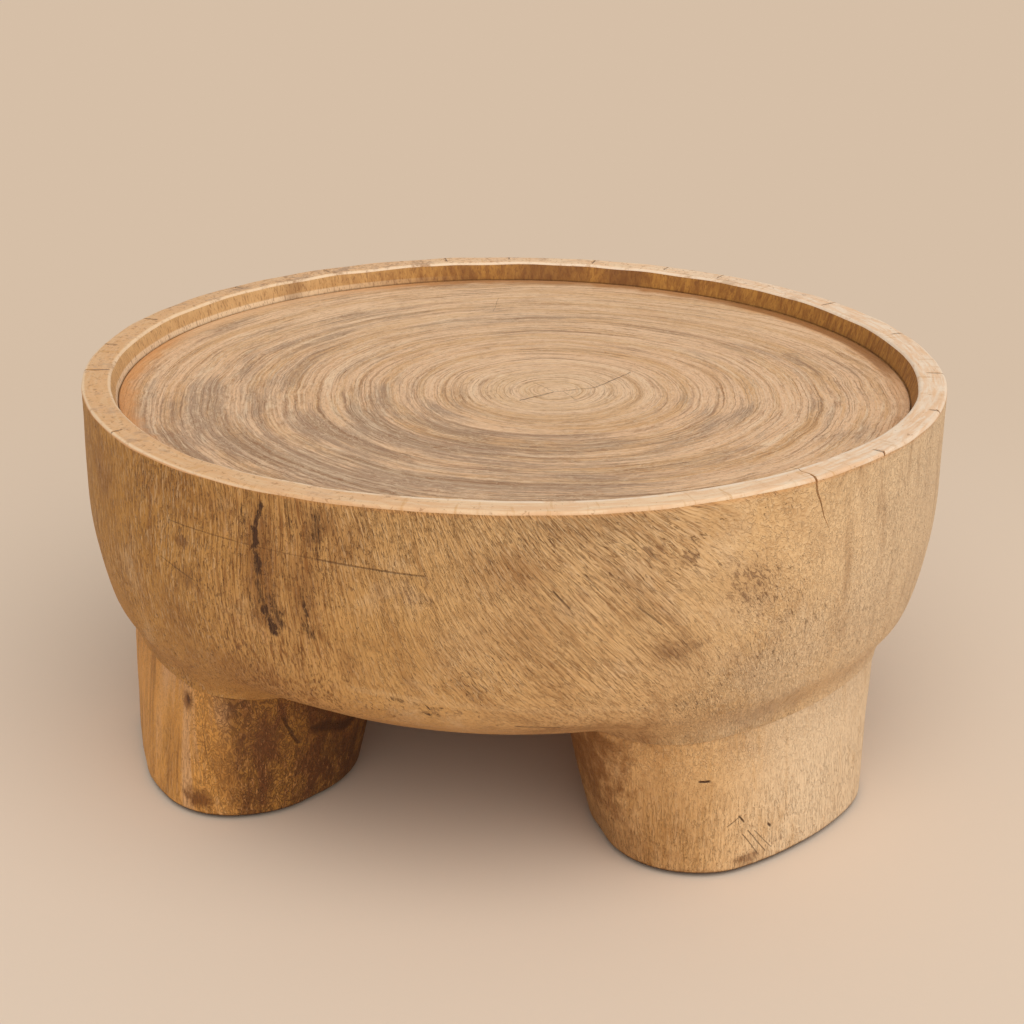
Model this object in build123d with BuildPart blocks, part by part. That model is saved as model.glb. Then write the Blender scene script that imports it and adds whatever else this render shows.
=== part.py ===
from build123d import *
import os

# Round low table: a hollowed drum with an inset tray, standing on three thick legs.
# Millimetres, +Z up. The origin is on the floor, on the drum's axis.

# Drum
rim_radius = 450.0
drum_height = 255.0  # rim down to the flat underside
rim_width = 28.0  # flat top of the rim
rim_edge = 3.0  # easing of the rim's two edges
belly_drop = 100.0  # straight part of the side, below the rim
ridge_inset = 10.0  # how far the belly has come in at its lower ridge
ridge_height = 63.0  # ridge above the underside
lip_setback = 10.0  # further in, from the ridge to the turn of the lip
lip_height = 43.0  # turn of the lip above the underside
lip_round = 14.0
undercut_run = 71.0  # sloping face, from the lip to the flat underside
floor_thickness = 55.0
cavity_lean = 35.0  # how much the cavity narrows towards its floor
cavity_corner = 30.0

# Tray
tray_depth = 22.0  # rim down to the tray's face
rim_lean = 7.0  # how much the rim's inner wall comes in at its foot
tray_thickness = 26.0
tray_edge = 1.0
tray_clearance = 0.3  # round the tray's edge
ledge_width = 30.0  # ledge that carries the tray

# Legs
leg_height = 142.0
leg_angles = {"right_front": -46.0, "left": -158.0, "rear": 77.5}
leg_setback = 28.0  # outer side of a foot, inside the rim
leg_depth = 225.0  # radial, at the foot
leg_inner_width = 210.0
leg_outer_width = 420.0
leg_inner_corner = 115.0
leg_outer_corner = 88.0
leg_spread = 24.0  # widening of the sides and inner end, from foot to top
leg_lean = 10.0  # outer side comes in by this much, from foot to top
foot_round = 5.0

# Shoulders: the drum comes down fuller over each leg
shoulder_lip = 3.0  # the drum stands proud of the leg all round by this much
shoulder_height = 70.0
shoulder_lean = 21.0  # how much the outer side leans out over that height
shoulder_spread = 16.0  # how much the sides lean out over that height

# Wedged tenons through the drum's floor
tenon_length = 150.0  # across the leg
tenon_width = 64.0  # along the leg's radius
tenon_inset = 118.0  # tenon's middle, in from the top of the leg's outer side
tenon_clearance = 0.3
wedge_depth = 42.0
wedge_thickness = 7.0  # at the driven end
wedge_tip = 2.0
wedge_spacing = 72.0
wedge_clearance = 0.1
kerf_relief = 3.0  # saw kerf runs on below the wedge's tip

# Felt pads under the feet
pad_thickness = 3.0
pad_inset = 3.0  # inside the flat of the sole

# Heights and radii that follow
joint_height = pad_thickness + leg_height
table_height = joint_height + drum_height
cavity_floor = joint_height + floor_thickness
tray_face = table_height - tray_depth
ledge_face = tray_face - tray_thickness
bore_radius = rim_radius - rim_width - rim_lean
ledge_radius = bore_radius - ledge_width
cavity_floor_radius = ledge_radius - cavity_lean
ridge_radius = rim_radius - ridge_inset
lip_radius = ridge_radius - lip_setback
underside_radius = lip_radius - undercut_run
foot_radius = rim_radius - leg_setback
leg_top_radius = foot_radius - leg_lean
shoulder_radius = leg_top_radius + shoulder_lip
tenon_radius = leg_top_radius - tenon_inset

ridge_point = (ridge_radius, joint_height + ridge_height)
lip_point = (lip_radius, joint_height + lip_height)
belly_point = (rim_radius, table_height - belly_drop)
cavity_corner_point = (cavity_floor_radius, cavity_floor)


def leg_plane(angle, height):
    """Level plane with its X axis along one leg's radius."""
    return Plane.XY.rotated((0, 0, angle)).offset(height)


def leg_outline(plane, spread, outer_radius):
    """Plan of a leg at one height: a rounded block, its outer side on a circle about the drum's axis."""
    inner = foot_radius - leg_depth - spread
    reach = outer_radius + leg_outer_corner
    slope = (leg_outer_width - leg_inner_width) / 2 / leg_depth
    inner_half = leg_inner_width / 2 + spread
    reach_half = inner_half + slope * (reach - inner)
    with BuildSketch(plane) as outline:
        with BuildLine():
            Polyline(
                (inner, -inner_half),
                (reach, -reach_half),
                (reach, reach_half),
                (inner, inner_half),
                close=True,
            )
        make_face()
        Circle(outer_radius, mode=Mode.INTERSECT)
        fillet(outline.vertices().group_by(Axis.X)[0], leg_inner_corner)
        fillet(outline.vertices().group_by(Axis.X)[-1], leg_outer_corner)
    return outline.sketch


def tenon_outline(plane, clearance):
    """Round-ended tenon, its length across the leg."""
    with BuildSketch(plane) as outline:
        with Locations((tenon_radius, 0)):
            SlotOverall(tenon_length + 2 * clearance, tenon_width + 2 * clearance, rotation=90)
    return outline.sketch


def wedge_places(angle):
    """Upright planes across the tenon, at the middle of each wedge's driven end."""
    top = leg_plane(angle, cavity_floor)
    for side in (-1, 1):
        origin = top.from_local_coords((tenon_radius, side * wedge_spacing / 2, 0))
        yield Plane(origin=origin, x_dir=top.y_dir, z_dir=top.x_dir)


def wedge_outline(plane, clearance, relief):
    """Tapered profile of a wedge, or of the kerf that it is driven into."""
    top_half = wedge_thickness / 2 + clearance
    tip_half = wedge_tip / 2 + clearance
    with BuildSketch(plane) as outline:
        with BuildLine():
            Polyline(
                (-top_half, 0),
                (-tip_half, -wedge_depth - relief),
                (tip_half, -wedge_depth - relief),
                (top_half, 0),
                close=True,
            )
        make_face()
    return outline.sketch


# Drum body: turned outside, then hollowed from the top
with BuildPart() as drum_body:
    with BuildSketch(Plane.XZ) as drum_profile:
        with BuildLine():
            Polyline((0, joint_height), (0, table_height), (rim_radius, table_height), belly_point)
            TangentArc(belly_point, ridge_point, tangent=(0, -1))
            Polyline(ridge_point, lip_point, (underside_radius, joint_height), (0, joint_height))
        make_face()
        fillet(drum_profile.vertices().sort_by_distance(lip_point)[0], lip_round)
    revolve(axis=Axis.Z)
    for angle in leg_angles.values():
        seat_spread = leg_spread + shoulder_lip
        seat = leg_outline(leg_plane(angle, joint_height), seat_spread, shoulder_radius)
        crown_plane = leg_plane(angle, joint_height + shoulder_height)
        crown = leg_outline(crown_plane, seat_spread + shoulder_spread, shoulder_radius + shoulder_lean)
        loft([seat, crown], ruled=True)
    with BuildSketch(Plane.XZ) as hollow_profile:
        with BuildLine():
            Polyline(
                (0, cavity_floor),
                cavity_corner_point,
                (ledge_radius, ledge_face),
                (bore_radius, ledge_face),
                (bore_radius, tray_face),
                (rim_radius - rim_width, table_height),
                (0, table_height),
                close=True,
            )
        make_face()
        fillet(hollow_profile.vertices().sort_by_distance(cavity_corner_point)[0], cavity_corner)
    revolve(axis=Axis.Z, mode=Mode.SUBTRACT)
    fillet(drum_body.faces().sort_by(Axis.Z)[-1].edges(), rim_edge)
    for angle in leg_angles.values():
        mortise = tenon_outline(leg_plane(angle, joint_height), tenon_clearance)
        extrude(mortise, amount=floor_thickness, mode=Mode.SUBTRACT)
drum_body.part.label = "drum_body"

# Tray: a loose disc of end grain, let into the rim and resting on the ledge
with BuildPart() as tray_top:
    with BuildSketch(Plane.XY.offset(ledge_face)):
        Circle(bore_radius - tray_clearance)
    extrude(amount=tray_thickness)
    chamfer(tray_top.faces().sort_by(Axis.Z)[-1].edges(), tray_edge)
tray_top.part.label = "tray_top"

finished = [drum_body.part, tray_top.part]

for name, angle in leg_angles.items():
    # Leg, with its tenon and two saw kerfs
    with BuildPart() as leg:
        foot = leg_outline(leg_plane(angle, pad_thickness), 0, foot_radius)
        top = leg_outline(leg_plane(angle, joint_height), leg_spread, leg_top_radius)
        loft([foot, top], ruled=True)
        fillet(leg.faces().sort_by(Axis.Z)[0].edges(), foot_round)
        extrude(tenon_outline(leg_plane(angle, joint_height), 0), amount=floor_thickness)
        for place in wedge_places(angle):
            kerf = wedge_outline(place, wedge_clearance, kerf_relief)
            extrude(kerf, amount=tenon_width / 2, both=True, mode=Mode.SUBTRACT)
    leg.part.label = "leg_" + name
    finished.append(leg.part)

    # Wedges, driven down into the kerfs from inside the drum
    for number, place in enumerate(wedge_places(angle), start=1):
        with BuildPart() as wedge:
            extrude(wedge_outline(place, 0, 0), amount=tenon_width / 2, both=True)
        wedge.part.label = f"wedge_{name}_{number}"
        finished.append(wedge.part)

    # Felt pad, glued to the sole
    with BuildPart() as pad:
        with BuildSketch(leg_plane(angle, 0)):
            add(leg_outline(Plane.XY, 0, foot_radius))
            offset(amount=-foot_round - pad_inset)
        extrude(amount=pad_thickness)
    pad.part.label = "pad_" + name
    finished.append(pad.part)

os.makedirs("parts", exist_ok=True)
for piece in finished:
    export_step(piece, f"parts/{piece.label}.step")
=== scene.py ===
import math

import bmesh
import bpy
from bpy.props import FloatProperty, FloatVectorProperty, IntProperty, PointerProperty
from mathutils import Matrix, Vector, noise


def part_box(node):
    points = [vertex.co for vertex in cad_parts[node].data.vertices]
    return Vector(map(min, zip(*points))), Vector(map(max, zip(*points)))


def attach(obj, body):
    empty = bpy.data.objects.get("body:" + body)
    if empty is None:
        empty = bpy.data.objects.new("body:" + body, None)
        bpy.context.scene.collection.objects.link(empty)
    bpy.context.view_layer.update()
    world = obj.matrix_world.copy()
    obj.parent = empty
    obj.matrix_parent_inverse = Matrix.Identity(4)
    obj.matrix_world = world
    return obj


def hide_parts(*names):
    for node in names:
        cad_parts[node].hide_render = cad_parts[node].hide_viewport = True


bl_info = {
    "name": "Carved drum table",
    "version": (1, 0, 0),
    "blender": (4, 5, 0),
    "location": "3D View > Sidebar > Drum Table",
    "description": "Carved finish for a round drum table with an inset tray on three thick legs",
    "category": "Object",
}

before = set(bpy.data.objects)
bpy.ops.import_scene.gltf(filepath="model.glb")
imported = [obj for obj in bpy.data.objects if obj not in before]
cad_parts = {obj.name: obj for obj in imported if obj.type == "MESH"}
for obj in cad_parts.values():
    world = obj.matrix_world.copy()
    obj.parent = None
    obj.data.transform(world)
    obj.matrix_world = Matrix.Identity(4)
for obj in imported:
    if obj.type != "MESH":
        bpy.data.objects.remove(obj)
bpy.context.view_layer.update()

BODY = "root"
MM = 0.001
SHARP_ANGLE = math.radians(40)
MERGE = 0.001 * MM  # points nearer than this become one
SLIVER = 0.01 * MM  # faces thinner than this are closed up
HALVINGS = 26  # steps in the search for an outline
OVERRUN = 5 * MM  # how far a mortise's or kerf's cutter runs past the wood

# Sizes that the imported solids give
DRUM_LOW, DRUM_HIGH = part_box("drum_body")
TRAY_LOW, TRAY_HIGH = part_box("tray_top")
PAD_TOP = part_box("pad_rear")[1].z
JOINT_HEIGHT = DRUM_LOW.z
TABLE_HEIGHT = DRUM_HIGH.z
RIM_RADIUS = DRUM_HIGH.x
TRAY_RADIUS = TRAY_HIGH.x
TRAY_FACE = TRAY_HIGH.z
LEDGE_FACE = TRAY_LOW.z
TRAY_CLEARANCE = 0.3 * MM
TRAY_EDGE = MM
BORE_RADIUS = TRAY_RADIUS + TRAY_CLEARANCE

# Drum
RIM_WIDTH = 28 * MM
RIM_EDGE = 3 * MM
BELLY_DROP = 100 * MM
RIDGE_INSET = 10 * MM
RIDGE_RISE = 63 * MM
LIP_RISE = 43 * MM
LIP_RADIUS = 430 * MM
UNDERSIDE_RADIUS = 359 * MM
FLOOR_THICKNESS = 55 * MM
LEDGE_WIDTH = 30 * MM
CAVITY_LEAN = 35 * MM
LEVEL_FACE = 0.97  # a face whose normal is steeper than this is level
LOWER_BAND = 100 * MM  # part of the side that is smoothed, up from the joint
LOWER_PASSES = 14

# Legs
LEG_ANGLES = {"right_front": -46.0, "left": -158.0, "rear": 77.5}
FOOT_RADIUS = 422 * MM
LEG_DEPTH = 225 * MM
LEG_INNER_WIDTH = 210 * MM
LEG_OUTER_WIDTH = 420 * MM
LEG_INNER_CORNER = 115 * MM
LEG_OUTER_CORNER = 88 * MM
LEG_SPREAD = 24 * MM
LEG_LEAN = 10 * MM
FOOT_ROUND = 5 * MM
FOOT_LOOPS = 4
SHOULDER_LIP = 1.5 * MM
SHOULDER_RIDGE_RISE = 39 * MM
SHOULDER_SEAM = FOOT_RADIUS - LEG_LEAN + SHOULDER_LIP
SHOULDER_REACH = math.radians(45)  # half of what a leg takes up round the drum

# Uneven feet. Each swelling: azimuth and half width in degrees, and how far the foot stands out or in
LEG_SWELLINGS = {
    "right_front": ((-18, 18, -4.5 * MM), (-55, 26, 6 * MM)),
    "left": ((-178, 26, -6.5 * MM), (-145, 12, 4 * MM)),
    "rear": ((62, 24, 4 * MM), (104, 20, -4 * MM)),
}
SWELLING_START, SWELLING_FULL = 300 * MM, 380 * MM  # only the outer side swells

# Hand-carved unevenness. Each layer: share, size of its hollows, and seed
SIDE_WAVES = ((1, 160 * MM, 3.1), (0.45, 55 * MM, 7.7))
RIM_WAVES = ((0.5, 35 * MM, 2.2), (0.5, 90 * MM, 8.4))
RIM_HEIGHT_WAVES = ((1, 50 * MM, 4.6),)
TRAY_WAVES = ((1, 150 * MM, 1.3), (0.5, 40 * MM, 5.9))
LEG_WAVES = ((1, 120 * MM, 0), (0.4, 45 * MM, 4))
LEG_SEED = 11.3  # between one leg's seeds and the next one's
WORN_DOWN = 0.6  # share of its depth by which a worn face lies low
# It fades out towards the joint, the rim, the tray's edge and a leg's top, over these distances
JOINT_FADE = 25 * MM
RIM_FADE = 60 * MM
TRAY_FADE = 30 * MM
LEG_FADE = 0.2  # share of the leg's height

# Uneven rim: it stands higher and further in over part of the front
RIM_CREST = math.radians(-75)
CREST_WIDTH = math.radians(65)
CREST_RISE = 3 * MM
CREST_INSET = 5 * MM

# Cracks, in millimetres
OVERCUT = 2  # how far a blade stands out of the wood
# Checks across the rim, in degrees and millimetres: azimuth, inner end, outer end, half width
RIM_CHECKS = (
    (-174.3, 424, 450, 1.3), (173.6, 434, 450, 0.8), (160.2, 430, 450, 0.9), (139.0, 434, 450, 0.7),
    (122.3, 428, 450, 0.6), (101.5, 430, 450, 0.6), (91.0, 436, 450, 0.6), (76.8, 428, 446, 0.6),
    (64.4, 432, 450, 0.5), (54.6, 430, 450, 0.5), (32.4, 426, 450, 0.7), (14.6, 434, 450, 0.8),
    (-4.7, 432, 450, 0.9), (-21.0, 438, 450, 0.8), (-40.1, 434, 450, 0.8), (-148.0, 438, 450, 0.6),
)

SIDE_MIDDLE = 285 * MM  # height at which the side's fibres stand in their place

# Marks, in millimetres: across is round the side from the front, to the right, and up is from the floor
# Stains, rubbed places with painted light, and grime: across, up, half width, half height, strength
SIDE_STAINS = (
    (-3, 349, 60, 30, 0.5), (110, 327, 50, 40, 0.3), (147, 264, 44, 26, 0.25), (-279, 208, 80, 30, 0.7),
    (-350, 246, 40, 34, 0.5), (-320, 372, 90, 26, 0.4), (-234, 330, 34, 84, 0.75),
    (-190, 320, 26, 74, 0.55), (220, 317, 52, 44, 0.28), (60, 175, 70, 18, 0.6), (120, 152, 50, 18, 0.5),
    (25, 300, 50, 40, 0.35), (172, 376, 66, 20, 0.3), (75, 386, 85, 18, 0.5),
)
# Rubbed places, partly wear and partly painted light on the shaded shoulder over the right front leg
SIDE_RUBBED_AND_LIT = (
    (69, 320, 28, 28, 0.3), (175, 245, 60, 30, 0.35), (-41, 270, 40, 40, 0.2), (286, 235, 70, 60, 0.35),
    (380, 250, 60, 80, 0.35), (235, 165, 100, 28, 0.5), (272, 190, 60, 24, 0.45),
    (262, 222, 90, 40, 0.45), (212, 290, 40, 24, 0.25),
)
SIDE_GRIME = (
    (123, 360, 22, 13, 0.65), (157, 350, 16, 12, 0.75), (220, 317, 46, 38, 0.62),
    (150, 266, 40, 18, 0.68), (-335, 327, 13, 12, 0.95), (-178, 372, 18, 44, 0.7),
    (-234, 340, 26, 70, 0.68), (-228, 285, 26, 40, 0.66), (-190, 310, 22, 60, 0.62),
    (-330, 292, 28, 18, 0.72), (-90, 328, 44, 24, 0.5), (40, 325, 60, 34, 0.45), (-60, 206, 60, 9, 0.5),
)
# Painted highlights along the lower ridge, streaks of bark and scratches: two ends, half width, strength
SIDE_RIDGE_HIGHLIGHTS = (((-150, 222), (50, 211), 5, 0.22), ((50, 211), (215, 199), 5, 0.3))
BARK_STREAKS = (
    ((-232, 388), (-240, 362), 5, 0.8), ((-240, 366), (-241, 340), 6, 0.95),
    ((-241, 344), (-235, 318), 6, 0.85), ((-240, 316), (-233, 290), 8, 0.66),
    ((-233, 292), (-222, 260), 6, 0.8), ((-226, 304), (-212, 270), 7, 0.66),
    ((-206, 394), (-202, 366), 5, 0.65), ((-213, 350), (-206, 296), 3, 0.55),
    ((-178, 389), (-172, 345), 8, 0.58), ((-193, 316), (-187, 286), 4, 0.62),
    ((-190, 286), (-184, 266), 7, 0.8), ((-250, 306), (-238, 270), 4, 0.5),
    ((-262, 348), (-252, 326), 6, 0.5), ((-255, 384), (-252, 352), 3, 0.5),
    ((-114, 217), (-62, 209), 4, 0.6), ((-84, 205), (-60, 201), 3, 0.6),
)
SIDE_SCRATCHES = (
    ((-351, 343), (-262, 345), 0.9, 0.4), ((-177, 345), (-76, 341), 1.2, 0.55),
    ((-262, 345), (-177, 345), 0.7, 0.25), ((-368, 302), (-316, 292), 0.8, 0.4),
    ((3, 191), (46, 187), 1.0, 0.6), ((34, 331), (49, 314), 1.3, 0.7), ((110, 311), (132, 292), 1.2, 0.5),
    ((62, 345), (74, 330), 1.1, 0.5),
)
LEG_MARKS = {
    "right_front": {
        "stains_and_shade": (
            # Painted shade: the first stain darkens the leg's left side, which faces away from the light
            (70, 80, 85, 120, 0.9), (165, 60, 70, 90, 0.28), (130, 20, 90, 40, 0.5),
            (105, 95, 22, 24, 0.5), (107, 132, 30, 14, 0.8), (128, 50, 26, 40, 0.4),
            (252, 12, 26, 9, 0.4),
        ),
        "grime": (
            (250, 14, 20, 7, 0.8), (290, 22, 20, 6, 0.6), (85, 92, 30, 30, 0.6), (75, 128, 24, 12, 0.6),
            (100, 50, 16, 26, 0.55),
        ),
        "splits": (
            ((197, 104), (209, 103), 1.6, 1.0), ((243, 60), (249, 52), 1.3, 0.9),
            ((280, 42), (284, 38), 1.8, 0.95), ((247, 40), (266, 14), 0.8, 0.6),
            ((254, 42), (276, 14), 0.8, 0.6), ((262, 40), (284, 16), 0.7, 0.5),
            ((228, 52), (246, 60), 0.8, 0.5),
        ),
    },
    "left": {
        "stains_and_shade": (
            (-398, 128, 12, 12, 0.8), (-388, 22, 22, 16, 0.9), (-356, 60, 12, 60, 0.4),
            (-430, 60, 26, 60, 0.3),
        ),
        "grime": (
            (-398, 130, 8, 9, 0.95), (-388, 20, 26, 14, 0.8), (-300, 90, 30, 60, 0.55),
            (-262, 100, 14, 50, 0.9), (-350, 90, 14, 60, 0.5),
        ),
        "splits": (
            ((-290, 100), (-289, 60), 3.0, 0.9), ((-300, 120), (-299, 84), 1.6, 0.8),
            ((-398, 134), (-396, 126), 3.0, 0.9), ((-375, 110), (-372, 60), 0.9, 0.4),
        ),
    },
    "rear": {
        "stains_and_shade": ((-1350, 90, 40, 30, 0.5), (1330, 30, 50, 16, 0.6), (1240, 110, 60, 20, 0.5)),
        "grime": ((1350, 60, 40, 30, 0.6),),
        "splits": (((1290, 110), (1296, 40), 1.2, 0.8), ((1370, 80), (1374, 52), 1.4, 0.8)),
    },
}

# Tray, in millimetres from the table's axis
PITH = (42, -35)
TRAY_CHECKS = (
    ((6, -70), (42, -40), 1.3, 0.7), ((42, -40), (86, -24), 1.0, 0.6), ((86, -24), (126, 30), 1.1, 0.65),
    ((42, -38), (20, -8), 0.7, 0.4), ((50, -36), (66, -70), 0.6, 0.35),
    ((259, -261), (284, -286), 0.7, 0.6), ((-20, 330), (-26, 268), 0.6, 0.35),
    ((-300, -200), (-262, -176), 0.6, 0.4), ((300, 100), (342, 112), 0.6, 0.4),
)

# Dark patches on the rim's inner wall, seen from above: x, y, half sizes and strength
WALL_KNOTS = (
    (140, 395, 34, 30, 0.6), (40, 417, 60, 30, 0.5), (-60, 414, 26, 30, 0.35), (-270, 320, 20, 30, 0.4),
)

# Tray's edge, in metres: oiled ring, painted shadow along a stretch at the right, and dark seam at the
# wall's foot
OILED_RING = (0.39, 0.408)
SHADOWED_EDGE = (0.397, 0.402)
DARK_SEAM = (0.4125, 0.4142)

# Stage
CAMERA_PLACE = (-1.5 * MM, -1.9368, 0.9947)
SENSOR_WIDTH = 36
FLOOR_SIZE = 40

# Wedged tenons
TENON_RADIUS = 294 * MM
TENON_LENGTH = 150 * MM
TENON_WIDTH = 64 * MM
TENON_CLEARANCE = 0.3 * MM
WEDGE_DEPTH = 42 * MM
WEDGE_THICKNESS = 7 * MM
WEDGE_TIP = 2 * MM
WEDGE_SPACING = 72 * MM
WEDGE_CLEARANCE = 0.1 * MM
KERF_RELIEF = 3 * MM
MORTISE_STEPS = 96


def tone(red, green, blue):
    """A colour as it is seen on a screen, 0 to 255, as the linear colour that Blender works with."""
    def linear(level):
        level = level / 255
        return level / 12.92 if level <= 0.04045 else ((level + 0.055) / 1.055) ** 2.4

    return (linear(red), linear(green), linear(blue))


def colour(name, description, shown):
    return FloatVectorProperty(
        name=name, description=description, default=tone(*shown), subtype="COLOR", size=3, min=0, max=1
    )


def length(name, description, default):
    return FloatProperty(name=name, description=description, default=default, unit="LENGTH")


def degrees(name, description, default):
    return FloatProperty(name=name, description=description, default=math.radians(default), subtype="ANGLE")


def amount(name, description, default, least=0):
    return FloatProperty(name=name, description=description, default=default, min=least)


def count(name, description, default, least):
    return IntProperty(name=name, description=description, default=default, min=least)


# What a user may change

class CarvingSettings(bpy.types.PropertyGroup):
    ring_step: length("Ring step", "Spacing of the drum's rings of faces", 6 * MM)
    drum_steps: count("Drum steps", "Faces round the drum", 400, 60)
    leg_steps: count("Leg steps", "Faces round a leg", 160, 48)
    leg_levels: count("Leg levels", "Rows of faces up a leg", 32, 8)
    hand_depth: length("Hand carving", "Depth of the uneven hand-carved surface", 1.6 * MM)
    rim_depth: length("Rim wear", "Unevenness of the rim and its inner wall", 1.2 * MM)
    tray_depth: length("Tray wear", "Depth of the worn unevenness of the tray", 0.7 * MM)


class WoodColours(bpy.types.PropertyGroup):
    honey: colour("Honey", "Main colour of the drum and legs", (194, 137, 61))
    # Pale also paints light on the right of the drum and legs, and on the left of the rim's inner wall
    pale: colour("Pale", "Sun-bleached wood", (235, 193, 140))
    # Brown also paints shade in the grooves of the carving
    brown: colour("Brown", "Darker wood of the clouds and hollows", (138, 86, 37))
    heart: colour("Heartwood", "Figured dark wood of the left leg", (112, 66, 32))
    umber: colour("Umber", "Stains and bark", (78, 46, 22))
    weathered: colour("Weathered", "Greyed end grain", (140, 112, 90))
    tan: colour("Tan", "Main colour of the tray", (230, 184, 140))
    amber: colour("Amber", "Oiled orange wood", (214, 148, 86))
    # Golden also paints light on the shaded left leg
    golden: colour("Golden", "Fresh wood of the legs", (230, 163, 82))
    # Cream also paints highlights on the carving, the edges and the ridge, and light on the right of the
    # drum and legs
    cream: colour("Cream", "Rubbed edges and the rim", (240, 208, 168))
    # Bleached also paints light on the rim's right side and on its edge highlights
    bleached: colour("Bleached", "Wood in full daylight", (240, 216, 188))
    felt: colour("Felt", "Pads under the feet", (46, 40, 36))


class StageSettings(bpy.types.PropertyGroup):
    floor: colour("Floor", "Plain pale floor", (224, 203, 181))
    # Far floor paints shade on the floor away from the table
    far_floor: colour("Far floor", "Floor away from the table", (214, 191, 167))
    key_energy: amount("Key light", "Power of the main soft light", 1.84)
    key_softness: degrees("Key softness", "Width of the main light", 80)
    key_side: degrees("Key side", "Azimuth that the main light comes from", -67)
    key_lean: degrees("Key lean", "Main light's angle from overhead", 38)
    fill_strength: amount("Fill", "Strength of the even light", 0.54)
    lens: amount("Lens", "Focal length in millimetres", 66.87, 1)
    tilt: degrees("Tilt", "How far the camera looks down", 21.65)
    roll: degrees("Roll", "How far the camera leans", 0.42)


# Shapes

def reach(depth, low, high):
    """Distance at which depth, a function of it, turns from negative to positive."""
    for _ in range(HALVINGS):
        middle = (low + high) / 2
        if depth(middle) > 0:
            high = middle
        else:
            low = middle
    return low


def blended(value, low, high):
    """0 below low, 1 above high, and smooth between."""
    share = min(max((value - low) / (high - low), 0), 1)
    return share * share * (3 - 2 * share)


def leg_depth_at(across, along, spread, outer_radius):
    """How far a point lies outside a leg's plan, in the leg's own axes: along its radius, and across."""
    lean = math.atan2((LEG_OUTER_WIDTH - LEG_INNER_WIDTH) / 2, LEG_DEPTH)
    point = Vector((along, abs(across)))
    inner = FOOT_RADIUS - LEG_DEPTH - spread
    side = Vector((-math.sin(lean), math.cos(lean)))
    offset = side.dot(Vector((inner, LEG_INNER_WIDTH / 2 + spread)))
    turn = inner + LEG_INNER_CORNER
    inner_centre = Vector((turn, (offset - LEG_INNER_CORNER - side.x * turn) / side.y))
    outer_turn = outer_radius - LEG_OUTER_CORNER
    bearing = math.pi / 2 + lean - math.acos((offset - LEG_OUTER_CORNER) / outer_turn)
    outward = Vector((math.cos(bearing), math.sin(bearing)))
    for centre, radius, end in (
        (inner_centre, LEG_INNER_CORNER, Vector((-1, 0))), (outward * outer_turn, LEG_OUTER_CORNER, outward)
    ):
        away = point - centre
        cosine = side.dot(end)
        one = away.dot(side)
        two = away.dot(end)
        if one > cosine * two and two > cosine * one:
            return away.length - radius
    return max(side.dot(point) - offset, inner - along, point.length - outer_radius)


def leg_reach(direction, spread, outer_radius):
    """Distance from the tenon's middle to a leg's outline, in one direction from the leg's radius."""
    def depth(distance):
        along = TENON_RADIUS + distance * math.cos(direction)
        return leg_depth_at(distance * math.sin(direction), along, spread, outer_radius)

    return reach(depth, 0, LEG_OUTER_WIDTH)


def tenon_reach(direction, clearance):
    """Distance from the tenon's middle to its round-ended outline."""
    radius = TENON_WIDTH / 2
    straight = TENON_LENGTH / 2 - radius

    def depth(distance):
        across = max(abs(distance * math.sin(direction)) - straight, 0)
        return math.hypot(across, distance * math.cos(direction)) - radius - clearance

    return reach(depth, 0, TENON_LENGTH)


def shoulder_reach(azimuth):
    """Radius of the drum's lower edge at one azimuth: the underside's, or a leg's outer side."""
    top = FOOT_RADIUS - LEG_LEAN
    for angle in LEG_ANGLES.values():
        turn = math.remainder(azimuth - math.radians(angle), math.tau)

        def depth(radius):
            return leg_depth_at(radius * math.sin(turn), radius * math.cos(turn), LEG_SPREAD, top)

        if abs(turn) < SHOULDER_REACH and depth(UNDERSIDE_RADIUS) < 0:
            return reach(depth, UNDERSIDE_RADIUS, FOOT_RADIUS)
    return UNDERSIDE_RADIUS


def polar(distance, direction, height):
    return Vector((distance * math.cos(direction), distance * math.sin(direction), height))


def uneven(point, layers, seed=0):
    """Smooth unevenness about 0 at one point. A layer reaches as far up and down as its share."""
    total = 0
    for share, size, own_seed in layers:
        total += share * noise.noise(point / size + Vector.Fill(3, seed + own_seed))
    return total


def new_mesh(bm, name):
    """Turns a bmesh into a mesh, and ends it."""
    mesh = bpy.data.meshes.new(name)
    bm.to_mesh(mesh)
    bm.free()
    return mesh


def new_object(name, data):
    thing = bpy.data.objects.new(name, data)
    bpy.context.scene.collection.objects.link(thing)
    return thing


def new_piece(bm, name, materials, slot, *nodes):
    """Turns a bmesh into a finished piece that rides on the table and stands for some nodes."""
    bmesh.ops.remove_doubles(bm, verts=bm.verts, dist=MERGE)
    bmesh.ops.recalc_face_normals(bm, faces=bm.faces)
    mesh = new_mesh(bm, name)
    piece = new_object(name, mesh)
    for material in materials:
        mesh.materials.append(material)
    mesh.shade_smooth()
    mesh.set_sharp_from_angle(angle=SHARP_ANGLE)
    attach(piece, BODY)
    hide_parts(*nodes)
    return piece


def cut(piece, cutter):
    """Takes the cutter's solids out of a piece, and removes the cutter."""
    modifier = piece.modifiers.new("cut", "BOOLEAN")
    modifier.operation = "DIFFERENCE"
    modifier.solver = "EXACT"
    modifier.object = cutter
    evaluated = piece.evaluated_get(bpy.context.evaluated_depsgraph_get())
    mesh = bpy.data.meshes.new_from_object(evaluated)
    bm = bmesh.new()
    bm.from_mesh(mesh)
    bmesh.ops.dissolve_degenerate(bm, dist=SLIVER, edges=bm.edges)
    bm.to_mesh(mesh)
    bm.free()
    mesh.set_sharp_from_angle(angle=SHARP_ANGLE)
    piece.modifiers.remove(modifier)
    piece.data = mesh
    bpy.data.objects.remove(cutter)


def new_cutter(bm):
    bmesh.ops.recalc_face_normals(bm, faces=bm.faces)
    return new_object("cutter", new_mesh(bm, "cutter"))


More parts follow.
